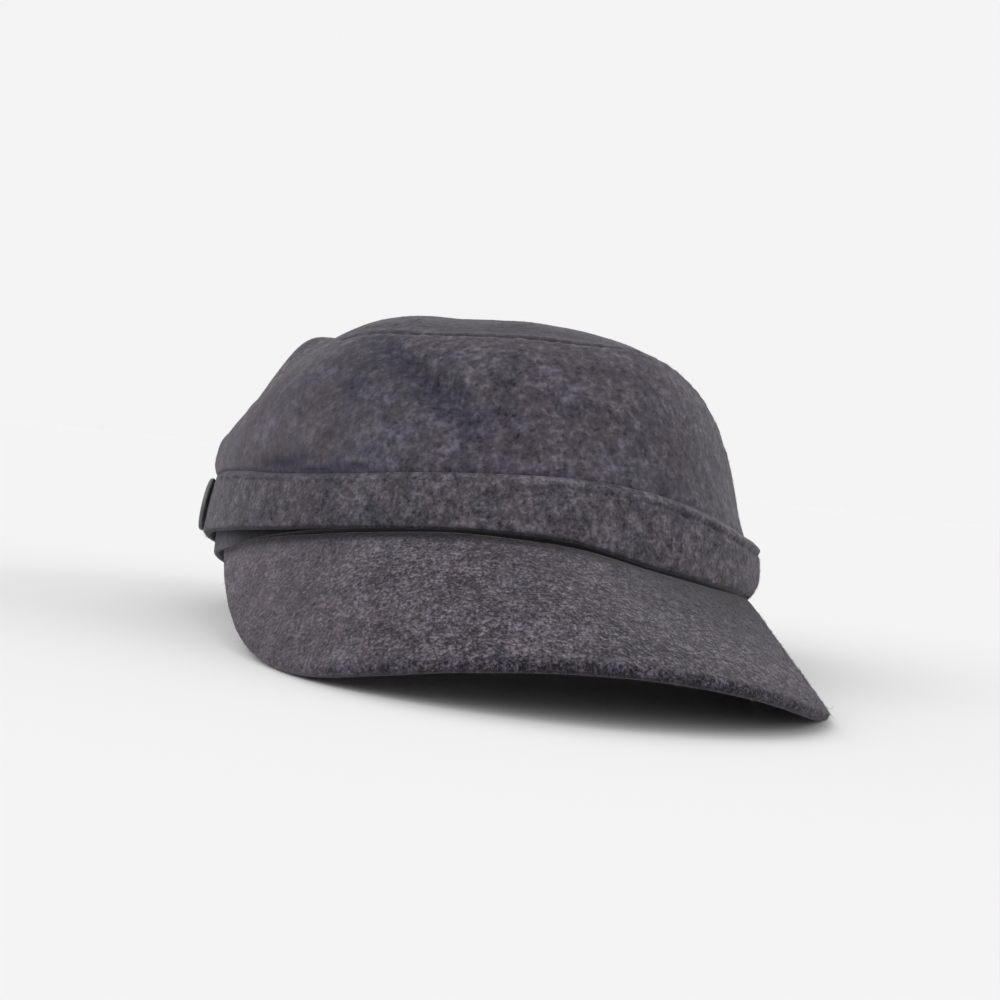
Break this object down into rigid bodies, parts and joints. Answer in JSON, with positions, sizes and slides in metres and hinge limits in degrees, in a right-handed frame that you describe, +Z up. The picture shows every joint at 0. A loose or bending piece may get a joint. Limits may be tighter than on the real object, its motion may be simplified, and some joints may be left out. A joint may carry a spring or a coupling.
{
  "type": "baker boy cap",
  "caption": "Soft grey wool felt cap with a low crown, a folded band, a wide curved peak and small side buttons, open underneath for the head.",
  "frame": {"origin": "on the surface the cap lies on, under the middle of its overall box", "axes": "+Z up, the peak points to -Y, the wearer's left is +X"},
  "size_m": [0.1694, 0.2748, 0.0956],
  "materials": {
    "crown_side_felt": "brushed grey melange wool felt",
    "crown_tip_felt": "brushed grey melange wool felt",
    "band_felt": "brushed grey melange wool felt",
    "headband_felt": "grey melange wool felt, plain",
    "peak_felt": "brushed grey melange wool felt over a stiff board",
    "button": "dull grey, slightly worn rim"
  },
  "bodies": {
    "root": {"crown_side": "crown_side_felt", "crown_tip": "crown_tip_felt", "band": "band_felt", "headband": "headband_felt", "peak": "peak_felt", "button_right": "button", "button_left": "button"}
  },
  "joints": []
}
